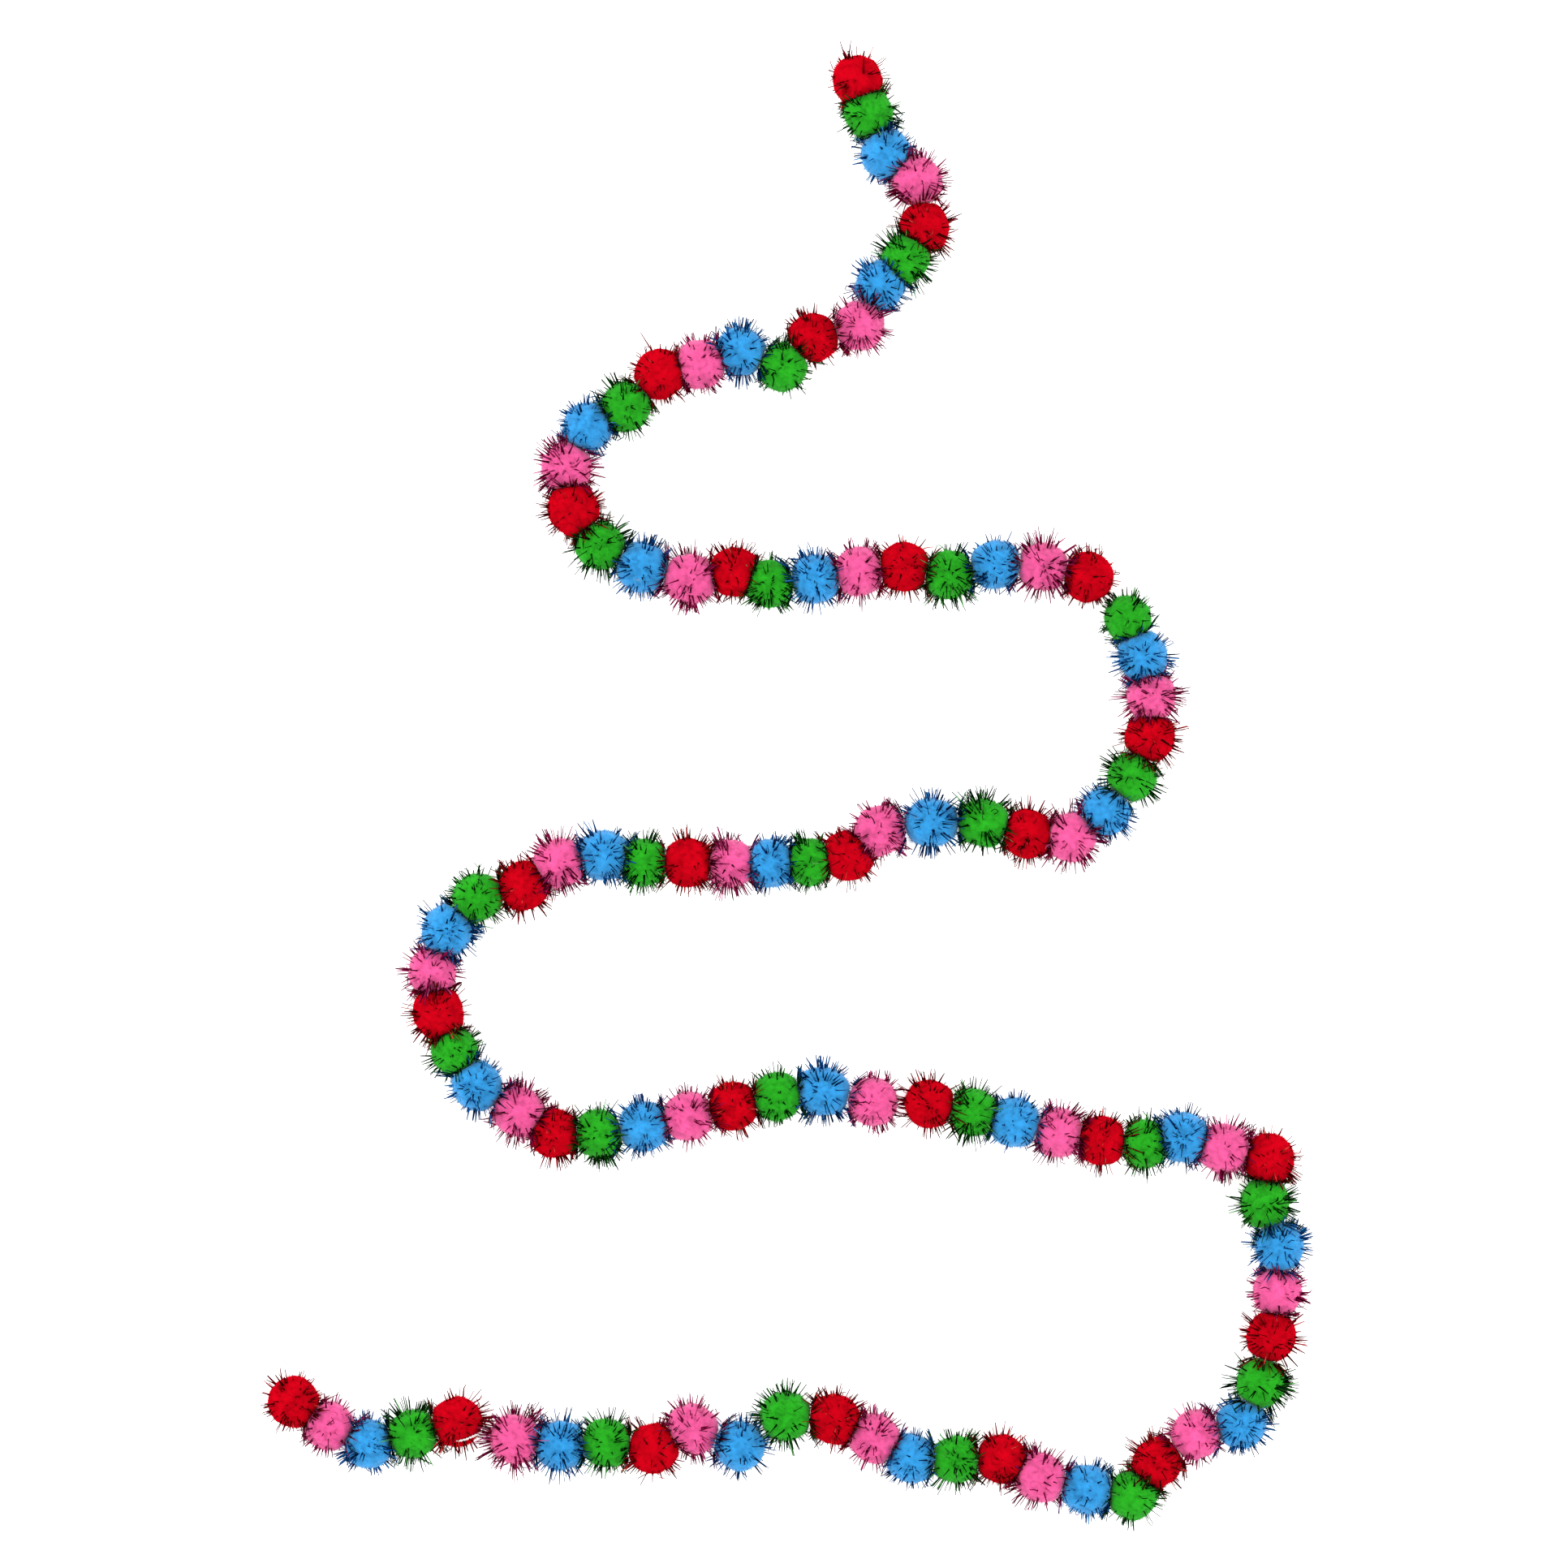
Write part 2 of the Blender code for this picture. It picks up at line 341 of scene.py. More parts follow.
# %% [markdown]
# ## The core of a ball
#
# Tens of thousands of fibres per ball would be a heavy model, and from a step away they read as one soft
# surface. So most of the pile is a fine ball whose points are pushed in and out at random, like the ends
# of small tufts. Each point also keeps two numbers for the material: its tone, which varies softly over
# the ball, and its depth in the pile, because pile is darker where light can't reach.

# %% A fine ball to start from
CORE_LEVEL = 4
CORE_DEPTH = 0.45 * MM         # of the core's mean surface below the pile's reach
TUFT = 0.24 * MM               # how far tufts rise and fall
TUFT_SIDEWAYS = 0.030          # of the radius
CORE_DEPTH_SHADE = 0.62        # the depth number for the pile's painted shade, in the middle of a tuft's rise and fall
TUFT_SHADE = 0.22              # added to it on top of a tuft and taken off in a valley, so valleys get a darker painted shade
TONE_WAVES = 0.16              # how far slow waves and chance change the tone
TONE_SPOTS = 0.12

start = bmesh.new()
bmesh.ops.create_icosphere(start, subdivisions=CORE_LEVEL, radius=1.0)
BALL_POINTS = np.array([tuple(vertex.co) for vertex in start.verts])
BALL_FACES = np.array([[vertex.index for vertex in face.verts] for face in start.faces])
start.free()
print("core of a ball", len(BALL_FACES), "triangles")


# %% Push its points into tufts
def unit(vectors):
    return vectors / np.linalg.norm(vectors, axis=-1, keepdims=True)


def random_turn(chance):
    """A turn about a random axis, so that no two balls show the same points."""
    turn, _ = np.linalg.qr(chance.normal(size=(3, 3)))
    return turn * np.sign(np.linalg.det(turn))


def grow_core(ball):
    """Points, faces, tones and depths of the ball's core."""
    chance = ball.chance
    turned = BALL_POINTS @ random_turn(chance).T
    ways = unit(turned + chance.normal(scale=TUFT_SIDEWAYS, size=turned.shape))
    tuft = chance.uniform(-1.0, 1.0, len(ways))
    reach = pile_reach(ball, ways, CORE_DEPTH) + TUFT * tuft
    points = ball.middle + ways * reach[:, None]
    points[:, 2] = np.maximum(points[:, 2], 0.0)
    tone = 0.5 + TONE_WAVES * slow_waves(ball, ways) + chance.uniform(-TONE_SPOTS, TONE_SPOTS, len(ways))
    # Painted shade: low tuft points get a low depth number, which the pile's colour turns darker.
    depth = CORE_DEPTH_SHADE + TUFT_SHADE * tuft
    return SimpleNamespace(points=points, faces=BALL_FACES, tone=tone, depth=depth)


# %% [markdown]
# ## Loose fibres
#
# What makes an edge look soft is that single fibres end at different heights. They could be Blender hair,
# but hair can't be exported as a solid. Each fibre here is a thin closed spike of four triangles, with
# its root inside the core. They are spread evenly over the ball and lean a little, each its own way.

# %% Spikes of fibre
FIBRES = 1400
FIBRE_ROOT = 1.5 * MM          # below the pile's reach
FIBRE_SHORT = -0.25 * MM       # of the shortest fibre over the reach
FIBRE_LONG = 1.25 * MM         # added to it for the longest fibres
FIBRE_WIDTH = (0.20 * MM, 0.30 * MM)
FIBRE_LEAN = 0.50 * MM
FIBRE_TONES = (0.12, 0.88)
FEW_LONG = 1.7                 # the higher, the fewer fibres are nearly as long as the longest
LEAST_HEIGHT = 0.05 * MM       # over the table, of whatever grows on a ball
GOLDEN = math.pi * (3.0 - math.sqrt(5.0))


def spread_ways(count, chance):
    """Directions spread evenly over a ball, with a little disorder."""
    steps = np.arange(count) + 0.5
    up = 1.0 - 2.0 * steps / count
    around = np.sqrt(1.0 - up * up)
    ways = np.stack([np.cos(GOLDEN * steps) * around, np.sin(GOLDEN * steps) * around, up], axis=1)
    return unit(ways @ random_turn(chance).T + chance.normal(scale=0.8 / math.sqrt(count), size=ways.shape))


def across(ways, chance):
    """For each direction, two directions at right angles to it and to each other."""
    first = unit(np.cross(ways, chance.normal(size=ways.shape)))
    return first, np.cross(ways, first)


def grow_fibres(ball):
    """Thin spikes all over the ball, as points, faces, tones and depths."""
    chance = ball.chance
    ways = spread_ways(FIBRES, chance)
    side, other = across(ways, chance)
    reach = pile_reach(ball, ways)
    root = ball.middle + ways * (reach - FIBRE_ROOT)[:, None]
    above = FIBRE_SHORT + FIBRE_LONG * ball.kind.fuzz * chance.random(FIBRES) ** FEW_LONG
    lean = side * chance.normal(scale=FIBRE_LEAN, size=(FIBRES, 1))
    tip = ball.middle + ways * (reach + above)[:, None] + lean
    width = chance.uniform(*FIBRE_WIDTH, (FIBRES, 1))
    corners = [root + width * (math.cos(a) * side + math.sin(a) * other) for a in np.arange(3) * math.tau / 3]
    points = np.stack([*corners, tip], axis=1).reshape(-1, 3)
    points[:, 2] = np.maximum(points[:, 2], LEAST_HEIGHT)
    spike = np.array([(0, 1, 3), (1, 2, 3), (2, 0, 3), (2, 1, 0)])
    faces = (np.arange(FIBRES)[:, None, None] * 4 + spike).reshape(-1, 3)
    tone = np.repeat(chance.uniform(*FIBRE_TONES, FIBRES), 4) + np.tile((-0.012, 0.0, 0.012, 0.0), FIBRES)
    # Painted shade: a fibre's root gets a low depth number and comes out darker, its tip lighter.
    depth = np.tile((0.30, 0.32, 0.30, 1.0), FIBRES)
    return SimpleNamespace(points=points, faces=faces, tone=tone, depth=depth)


# %% [markdown]
# ## Strips of tinsel
#
# Tinsel is foil cut into strips about a millimetre wide, wound in with the pile. It stands out of the
# pile in small sheaves, some crossed like a V. Most strips are straight, some are bent over along the
# pile, and a few are folded into a hairpin. Where two balls meet, strips are caught between them and fan
# out all round the joint. On top of a ball they were pressed outwards in the packing, so from above they
# look like the spokes of a wheel. A flat ribbon would have no thickness and leave open edges, so each
# strip is a long three-sided bar, wide and very thin. Where a strip would run into a neighbour or the
# table, its points are pushed out to the surface, which bends it as the real foil bends.

# %% A strip along any path
STRIP_THICK = 0.26 * MM
STRIP_TAPER = 0.40             # width of a strip's tip, as a share of its root


def ribbon(paths, side, width, tone):
    """Closed three-sided bars along paths of equally many points, as points, faces, tones and depths."""
    count, steps, _ = paths.shape
    run = unit(np.gradient(paths, axis=1))
    flat = unit(side[:, None, :] - (side[:, None, :] * run).sum(axis=2, keepdims=True) * run)
    up = np.cross(run, flat)
    half = width[:, None, None] / 2 * np.linspace(1.0, STRIP_TAPER, steps)[None, :, None]
    left = paths - flat * half - up * STRIP_THICK / 3
    right = paths + flat * half - up * STRIP_THICK / 3
    ridge = paths + up * STRIP_THICK * 2 / 3
    points = np.stack([left, right, ridge], axis=2).reshape(-1, 3)
    points[:, 2] = np.maximum(points[:, 2], LEAST_HEIGHT)
    faces = []
    for step in range(steps - 1):
        for corner in range(3):
            a = step * 3 + corner
            b = step * 3 + (corner + 1) % 3
            faces += [(a, b, b + 3), (a, b + 3, a + 3)]
    last = (steps - 1) * 3
    faces += [(2, 1, 0), (last, last + 1, last + 2)]
    faces = (np.arange(count)[:, None, None] * steps * 3 + np.array(faces)).reshape(-1, 3)
    tones = np.repeat(tone, steps * 3) + np.tile((-0.004, 0.004, 0.0), count * steps)
    depths = np.tile(np.repeat(np.linspace(0.0, 1.0, steps), 3), count)
    return SimpleNamespace(points=points, faces=faces, tone=tones, depth=depths)


# %% Keep strips out of the neighbours
STRIP_CLEAR = 0.15 * MM        # above a neighbour's pile


def push_out(ball, paths):
    """Moves points of a path that lie in a neighbouring ball out to its surface, and off the table."""
    for meeting in ball.meetings:
        middle = ball.middle + meeting.towards * meeting.distance
        apart = paths - middle
        distance = np.linalg.norm(apart, axis=-1, keepdims=True)
        wanted = ball.kind.radius + STRIP_CLEAR
        paths = np.where(distance < wanted, middle + apart / np.maximum(distance, 1e-6) * wanted, paths)
    paths[..., 2] = np.maximum(paths[..., 2], LEAST_HEIGHT + STRIP_THICK)
    return paths


# %% Sheaves of strips all over a ball
STRIP_ROOT = 1.6 * MM          # below the pile's reach
STRIP_WIDTH = (0.65 * MM, 1.05 * MM)
SHEAF = 1.7                    # strips in a sheaf, on average
SHEAF_SPREAD = 0.13            # in radians
LOWEST_STRIP = -0.82           # a strip's direction points no steeper down than this
STRIP_LEAN = 0.22              # sideways for each millimetre outwards
BENT_LEAN = 0.95               # the same for bent strips
BENT_STRAY = 1.1 * MM          # how far a bent strip curves off its own line
LENGTH_VARIES = 0.5 * MM       # within a sheaf
STUMP = 0.6                    # of the least length, for the shortest strip in a sheaf
BESIDE_NEIGHBOUR = 0.80        # a strip's direction lies no nearer to a neighbour's than this cosine
TRIES = 4                      # directions to choose from, for each that is wanted
PRESSED_OUT = 1.1              # how far a strip on top of a ball leans away from the ball's upright axis
LONGER_ON_TOP = 0.20           # how much more of such a strip shows, as a share of its length
HAIRPINS = 2                   # folded strips on a ball
HAIRPIN_WIDTH = (0.45 * MM, 0.70 * MM)
HAIRPIN_HEIGHT = (2.0 * MM, 4.2 * MM)
HAIRPIN_GAP = (0.35 * MM, 0.90 * MM)   # half the distance between its legs
HAIRPIN_ROOT = 1.2 * MM
HAIRPIN_CROWN = 0.25 * MM


def free_ways(ball, count, chance):
    """Directions that point neither into a neighbour nor into the table."""
    ways = unit(chance.normal(size=(count * TRIES, 3)))
    free = ways[:, 2] > LOWEST_STRIP
    for meeting in ball.meetings:
        free &= ways @ meeting.towards < BESIDE_NEIGHBOUR
    return ways[free][:count]


def grow_sheaves(ball, count, shares, leaning, stray):
    """Strips in sheaves, as one bunch of ribbons with a point at each share of their length."""
    chance = ball.chance
    count = round(count * ball.rich)
    least, most = ball.kind.strip
    sheaves = free_ways(ball, round(count / SHEAF), chance)
    pick = chance.integers(0, len(sheaves), count)
    ways = unit(sheaves[pick] + chance.normal(scale=SHEAF_SPREAD, size=(count, 3)))
    length = chance.uniform(least, most, len(sheaves))[pick] + chance.normal(scale=LENGTH_VARIES, size=count)
    on_top = np.maximum(ways[:, 2:], 0.0)
    length = np.maximum(length, least * STUMP)[:, None] * ball.rich * (1.0 + LONGER_ON_TOP * on_top)
    side, other = across(ways, chance)
    outwards = ways * (1.0, 1.0, 0.0) * on_top
    lean = unit(ways + PRESSED_OUT * outwards + side * chance.normal(scale=leaning, size=(count, 1)))
    reach = pile_reach(ball, ways)[:, None]
    surface = ball.middle + ways * reach
    steps = [ball.middle + ways * (reach - STRIP_ROOT)]
    for share in shares:
        bend = stray * share ** 2 * other
        steps.append(surface + lean * length * share + bend * chance.normal(size=(count, 1)))
    paths = push_out(ball, np.stack(steps, axis=1))
    return ribbon(paths, side, chance.uniform(*STRIP_WIDTH, count), chance.random(count))


def grow_straight(ball):
    """Strips that stand straight out of the pile."""
    return grow_sheaves(ball, ball.kind.straight, (1.0,), STRIP_LEAN, 0.0)


def grow_bent(ball):
    """Strips that lie more along the pile than they stand out of it."""
    return grow_sheaves(ball, ball.kind.bent, (0.1, 0.6, 1.0), BENT_LEAN, BENT_STRAY)


# %% Strips folded into hairpins
def grow_hairpins(ball):
    """Strips that leave the pile, fold over and go back into it."""
    chance = ball.chance
    ways = free_ways(ball, HAIRPINS, chance)
    count = len(ways)
    side, other = across(ways, chance)
    reach = pile_reach(ball, ways)
    height = chance.uniform(*HAIRPIN_HEIGHT, (count, 1))
    open_by = chance.uniform(*HAIRPIN_GAP, (count, 1))
    surface = ball.middle + ways * reach[:, None]
    foot = ways * HAIRPIN_ROOT
    paths = np.stack(
        [
            surface - foot - side * open_by * 0.4,
            surface + ways * height * 0.5 - side * open_by,
            surface + ways * height - side * open_by * 0.8,
            surface + ways * (height + HAIRPIN_CROWN) + side * open_by * 0.1,
            surface + ways * height * 0.92 + side * open_by,
            surface - foot + side * open_by * 1.5,
        ],
        axis=1,
    )
    width = chance.uniform(*HAIRPIN_WIDTH, count)
    return ribbon(push_out(ball, paths), other, width, chance.random(count))


# %% Fans where two balls meet
FAN_INNER = 5.6 * MM           # from the string, where a fan's strips start
FAN_OUTER = (8.6 * MM, 12.6 * MM)
FAN_AROUND = (math.radians(-52.0), math.radians(232.0))   # from level, so that none points into the table
FAN_LEAN = (0.04, 0.16)        # its mean and its spread, along the string for each millimetre outwards
FAN_TURN = 0.16                # its spread, round the string
FAN_TONE = 0.7                 # strips in a fan are shaded, so none is bright


def grow_fans(ball):
    """Strips caught between two balls, which stand out all round the pressed disc."""
    chance = ball.chance
    bunches = []
    for meeting in ball.meetings:
        count = ball.kind.fan
        level = np.cross(meeting.towards, UP)
        around = chance.uniform(*FAN_AROUND, (count, 1))
        ways = np.cos(around) * level + np.sin(around) * UP
        turn = np.cross(meeting.towards, ways) * chance.normal(scale=FAN_TURN, size=(count, 1))
        lean = chance.normal(*FAN_LEAN, (count, 1))
        outer = chance.uniform(*FAN_OUTER, (count, 1))
        foot = ball.middle + meeting.towards * (meeting.half - chance.uniform(0.0, 0.8 * MM, (count, 1)))
        steps = []
        for share in (0.0, 0.5, 1.0):
            away = FAN_INNER + (outer - FAN_INNER) * share
            along = meeting.cup * away ** 2 + (away - FAN_INNER) * lean
            steps.append(foot + ways * away + meeting.towards * along + turn * (away - FAN_INNER))
        paths = np.stack(steps, axis=1)
        paths[..., 2] = np.maximum(paths[..., 2], LEAST_HEIGHT + STRIP_THICK)
        side = unit(np.cross(ways, meeting.towards) + 0.5 * chance.normal(size=(count, 3)))
        width = chance.uniform(*STRIP_WIDTH, count)
        bunches.append(ribbon(paths, side, width, FAN_TONE * chance.random(count)))
    return bunches


# %% [markdown]
# ## Strips that catch the eye
#
# Chance makes a likely garland, but the real one has strips that anyone would notice: two long hairs on
# the first ball, bridges over the widest gap, a few ends that flash, which get a painted glint. They were
# read in millimetres from the middle of their own ball, and are laid over the pile one by one.

# %% Strips with a place of their own
LONG_STRIPS = (
    # ball, root across and up, tip across and up, tone, which picks the painted shade, 0.99 giving a painted
    # glint
    (1, (-5.0, 8.5), (-7.0, 15.5), 0.2),
    (1, (-4.0, 9.0), (-2.5, 15.5), 0.1),
    (1, (2.5, 0.0), (2.5, 8.0), 0.2),
    (1, (9.0, -3.5), (12.5, -2.0), 0.1),
    (1, (9.0, -5.0), (13.0, -6.0), 0.1),
    (6, (-3.5, 8.0), (-5.5, 13.5), 0.99),
    (6, (1.0, 8.5), (2.0, 12.5), 0.99),
    (13, (-2.5, 9.0), (-7.5, 16.5), 0.6),
    (13, (6.0, -6.5), (10.5, -11.5), 0.6),
    (17, (7.0, 5.5), (10.5, 7.5), 0.2),
    (17, (-8.5, 0.5), (-13.0, -1.5), 0.3),
    (17, (-8.0, -3.0), (-13.0, -4.5), 0.3),
    (18, (-8.0, -4.5), (-12.5, -9.5), 0.1),
    (24, (1.0, -9.0), (1.0, -16.5), 0.2),
    (26, (-2.0, -8.5), (-2.0, -13.5), 0.2),
    (27, (4.0, -8.0), (5.5, -13.0), 0.6),
    (60, (-1.0, 8.5), (-1.5, 14.0), 0.2),
    (60, (1.5, -8.0), (1.5, -13.0), 0.2),
    (64, (0.5, 5.0), (2.5, 13.0), 0.1),
    (64, (8.0, 5.5), (14.5, 5.0), 0.2),
    (64, (8.5, 1.0), (14.5, 1.5), 0.1),
    (64, (5.0, 1.0), (9.0, 0.0), 0.3),
    (64, (6.0, -2.5), (10.0, 0.5), 0.3),
    (64, (7.5, -5.5), (14.5, -6.0), 0.1),
    (65, (-3.5, 8.0), (-5.5, 14.0), 0.4),
    (65, (-1.5, 8.5), (-4.5, 13.5), 0.4),
    (65, (2.0, 8.5), (0.5, 13.0), 0.4),
    (65, (7.0, 5.0), (12.5, 8.0), 0.4),
    (65, (-1.5, -8.5), (-2.0, -14.0), 0.2),
    (65, (-7.5, 5.5), (-13.5, 6.5), 0.3),
    (65, (-8.0, -4.5), (-13.5, -5.5), 0.3),
    (69, (1.5, -5.0), (1.5, -9.5), 0.99),
    (70, (-2.0, 8.5), (-2.0, 15.5), 0.3),
    (70, (2.5, 8.5), (3.0, 15.0), 0.3),
    (70, (1.5, -8.5), (1.5, -16.0), 0.3),
    (71, (-2.0, 8.5), (-2.0, 12.5), 0.1),
    (77, (1.5, 5.5), (1.5, 8.5), 0.99),
    (78, (-3.0, 0.5), (2.0, -3.5), 0.1),
    (78, (2.0, -3.5), (7.0, -8.0), 0.1),
    (80, (-1.0, -7.5), (5.0, -12.0), 0.3),
    (81, (-0.5, 7.0), (-4.0, 13.0), 0.7),
    (83, (-6.0, 5.0), (-6.5, 8.5), 0.99),
    (84, (0.0, 0.0), (4.0, -2.0), 0.2),
    (84, (3.5, 0.0), (6.5, -1.0), 0.2),
    (85, (5.0, 7.0), (8.0, 10.0), 0.99),
    (85, (6.0, 6.0), (10.0, 10.0), 0.99),
    (85, (2.5, 4.5), (6.5, 6.0), 0.99),
    (85, (-1.5, 8.5), (-2.5, 15.0), 0.5),
    (85, (0.5, 8.5), (1.5, 15.5), 0.5),
    (87, (7.0, 0.0), (7.0, 2.5), 0.99),
    (90, (-1.0, 8.0), (-3.5, 13.5), 0.1),
    (90, (0.0, 8.5), (-1.5, 13.5), 0.1),
    (90, (-4.0, 4.5), (-9.5, 10.0), 0.1),
    (90, (3.5, -7.5), (6.0, -13.0), 0.2),
    (90, (-6.5, -3.0), (-11.5, -7.5), 0.2),
    (90, (7.5, -6.0), (12.0, -6.5), 0.1),
    (97, (5.5, -6.5), (8.5, -10.5), 0.4),
)
LONG_STRIP_WIDTH = (0.60 * MM, 0.90 * MM)
ROOT_WITHIN = 8.6 * MM         # of the ball's middle, so that a root starts in the pile
LONG_RISE = (-1.2 * MM, 1.0 * MM)   # of root and tip over the pile's mean radius
LONG_LEVEL = 0.25              # of that radius, a strip's least height over the ball's middle
LONG_STEPS = 4                 # points along such a strip


def lay_long_strips(ball):
    """The strips that have a place of their own on this ball."""
    rows = [row[1:] for row in LONG_STRIPS if row[0] == ball.number]
    root = np.array([row[0] for row in rows]) * MM
    tip = np.array([row[1] for row in rows]) * MM
    root *= np.minimum(1.0, ROOT_WITHIN / np.maximum(np.linalg.norm(root, axis=1, keepdims=True), MM))
    share = np.linspace(0.0, 1.0, LONG_STEPS)[None, :, None]
    flat = root[:, None] + (tip - root)[:, None] * share
    dome = ball.radius + between(*LONG_RISE, share)
    height = np.sqrt(np.maximum(dome ** 2 - (flat ** 2).sum(axis=2, keepdims=True), (LONG_LEVEL * dome) ** 2))
    paths = ball.middle + np.concatenate([flat, height], axis=2)
    side = unit(np.cross(paths[:, -1] - paths[:, 0], UP))
    width = ball.chance.uniform(*LONG_STRIP_WIDTH, len(rows))
    return ribbon(paths, side, width, np.array([row[2] for row in rows]))


with_long_strips = {row[0] for row in LONG_STRIPS}
print("long strips", len(LONG_STRIPS), "on", len(with_long_strips), "balls")

# %% [markdown]
# ## One mesh for each colour
#
# A hundred balls with hundreds of strips each would be tens of thousands of objects, which Blender
# handles slowly. Joining the meshes of all balls of a colour keeps the count low: one piece for the pile
# and one for the tinsel, in each of the four colours. The arrays go into the mesh in one call each, which
# is much quicker than making faces one at a time.

# %% Join bunches into one piece
MAP_CORNER = 0.12              # of the map, where the square that holds each point's tone and depth starts
MAP_WIDTH = 0.30


def join(name, bunches):
    """One mesh object from many bunches, with each point's tone and depth."""
    starts = np.cumsum([0, *(len(bunch.points) for bunch in bunches)])
    points = np.concatenate([bunch.points for bunch in bunches])
    faces = np.concatenate([bunch.faces + first for bunch, first in zip(bunches, starts)])
    tone = np.clip(np.concatenate([bunch.tone for bunch in bunches]), 0.0, 1.0)
    depth = np.clip(np.concatenate([bunch.depth for bunch in bunches]), 0.0, 1.0)
    mesh = bpy.data.meshes.new(name)
    mesh.vertices.add(len(points))
    mesh.vertices.foreach_set("co", points.astype(np.float32).ravel())
    mesh.loops.add(faces.size)
    mesh.loops.foreach_set("vertex_index", faces.astype(np.int32).ravel())
    mesh.polygons.add(len(faces))
    mesh.polygons.foreach_set("loop_start", np.arange(0, faces.size, 3, dtype=np.int32))
    mesh.update(calc_edges=True)
    for label, values in (("tone", tone), ("depth", depth)):
        mesh.attributes.new(label, "FLOAT", "POINT").data.foreach_set("value", values.astype(np.float32))
    chart = MAP_CORNER + MAP_WIDTH * np.stack([tone, depth], axis=1)[faces.ravel()]
    mesh.uv_layers.new(name="OFBake").uv.foreach_set("vector", chart.astype(np.float32).ravel())
    mesh.shade_smooth()
    piece = bpy.data.objects.new(name, mesh)
    bpy.context.scene.collection.objects.link(piece)
    print(name, len(faces), "triangles")
    return piece


# %% Make the pile and the tinsel
pieces = {}
for kind in REPEAT:
    own = [ball for ball in balls if ball.kind is kind]
    pile = [grow(ball) for ball in own for grow in (grow_core, grow_fibres)]
    tinsel = [grow(ball) for ball in own for grow in (grow_straight, grow_bent, grow_hairpins)]
    tinsel += [fan for ball in own for fan in grow_fans(ball)]
    tinsel += [lay_long_strips(ball) for ball in own if ball.number in with_long_strips]
    pieces[kind.name, "pile"] = join(f"{kind.name}_pile", pile)
    pieces[kind.name, "tinsel"] = join(f"{kind.name}_tinsel", tinsel)

# %% [markdown]
# ## The thread
#
# The thread shows only in the few gaps where two balls have slid apart, and once where a stretch of it
# has come up over the pile. It is two yarns twisted round each other. Twisting a curve would need many
# steps over its whole length, most of them hidden in the balls. So the two yarns are swept in code, with
# short steps in the gaps and long ones inside the balls.

# %% Two twisted yarns
THREAD_HEIGHT = 9.7 * MM
YARN_RADIUS = 0.27 * MM
YARN_OFFSET = 0.21 * MM
TWIST = 2.6 * MM               # length of one turn
YARN_SIDES = 6
SHORT_STEP = 0.22 * MM
LONG_STEP = 2.2 * MM
HIDDEN_WITHIN = 9.2 * MM       # of a ball's middle


def thread_line():
    """Points along the thread, close together only where it shows."""
    length = float(np.linalg.norm(np.diff(line, axis=0), axis=1).sum())
    fine = evenly_along(line, round(length / SHORT_STEP))
    every = round(LONG_STEP / SHORT_STEP)
    nearest = np.linalg.norm(fine[:, None, :] - places[None, :, :], axis=2).min(axis=1)
    kept = (nearest > HIDDEN_WITHIN) | (np.arange(len(fine)) % every == 0)
    kept[[0, -1]] = True
    along = np.arange(len(fine))[kept] * length / (len(fine) - 1)
    return fine[kept] + np.array((0.0, 0.0, THREAD_HEIGHT)), along


def sweep_yarn(points, along, phase):
    """A closed tube that winds round the line of points."""
    run = unit(np.gradient(points, axis=0))
    level = unit(np.cross(run, UP))
    up = np.cross(level, run)
    turn = math.tau * along / TWIST + phase
    middle = points + YARN_OFFSET * (np.cos(turn)[:, None] * level + np.sin(turn)[:, None] * up)
    angles = np.arange(YARN_SIDES) * math.tau / YARN_SIDES
    ring = np.cos(angles)[None, :, None] * level[:, None, :] + np.sin(angles)[None, :, None] * up[:, None, :]
    rings = middle[:, None, :] + YARN_RADIUS * ring
    count = len(points)
    step = np.arange(count - 1)[:, None] * YARN_SIDES
    corner = np.arange(YARN_SIDES)[None, :]
    a = (step + corner).ravel()
    b = (step + (corner + 1) % YARN_SIDES).ravel()
    faces = [
        np.stack([a, b + YARN_SIDES, b], axis=1),
        np.stack([a, a + YARN_SIDES, b + YARN_SIDES], axis=1),
    ]
    last = (count - 1) * YARN_SIDES
    for k in range(1, YARN_SIDES - 1):
        faces.append(np.array([(0, k, k + 1)]))
        faces.append(np.array([(last, last + k + 1, last + k)]))
    tone = np.tile(np.linspace(0.2, 0.8, YARN_SIDES), count) + 0.1 * np.repeat(np.sin(turn), YARN_SIDES)
    depth = np.repeat(0.5 + 0.4 * np.sin(along / LONG_STEP), YARN_SIDES)
    depth = depth + np.tile((0.0, 0.05, 0.1) * 2, count)
    return SimpleNamespace(points=rings.reshape(-1, 3), faces=np.concatenate(faces), tone=tone, depth=depth)


# %% Where the thread comes up over the pile
STRAY_BALL = 97
STRAY_WAY = (
    # across, up, over the ball's middle
    (-1.0, -6.5, 5.5),
    (1.0, -7.0, 7.2),
    (4.0, -6.2, 8.0),
    (7.0, -5.0, 7.0),
    (9.5, -4.0, 4.5),
    (11.0, -3.0, 1.5),
    (11.5, -2.0, 0.2),
)


def stray_thread():
    """Points of the short stretch that lies over one ball."""
    way = places[STRAY_BALL - 1] + np.array((0.0, 0.0, MIDDLE_HEIGHT)) + np.array(STRAY_WAY) * MM
    length = float(np.linalg.norm(np.diff(way, axis=0), axis=1).sum())
    points = evenly_along(way, round(length / SHORT_STEP))
    return points, np.linspace(0.0, length, len(points))


yarns = [
    sweep_yarn(points, along, phase)
    for points, along in (thread_line(), stray_thread())
    for phase in (0.0, math.pi)
]
thread = join("twisted_thread", yarns)
everything = (thread, *pieces.values())
print("triangles in all", sum(len(piece.data.polygons) for piece in everything))
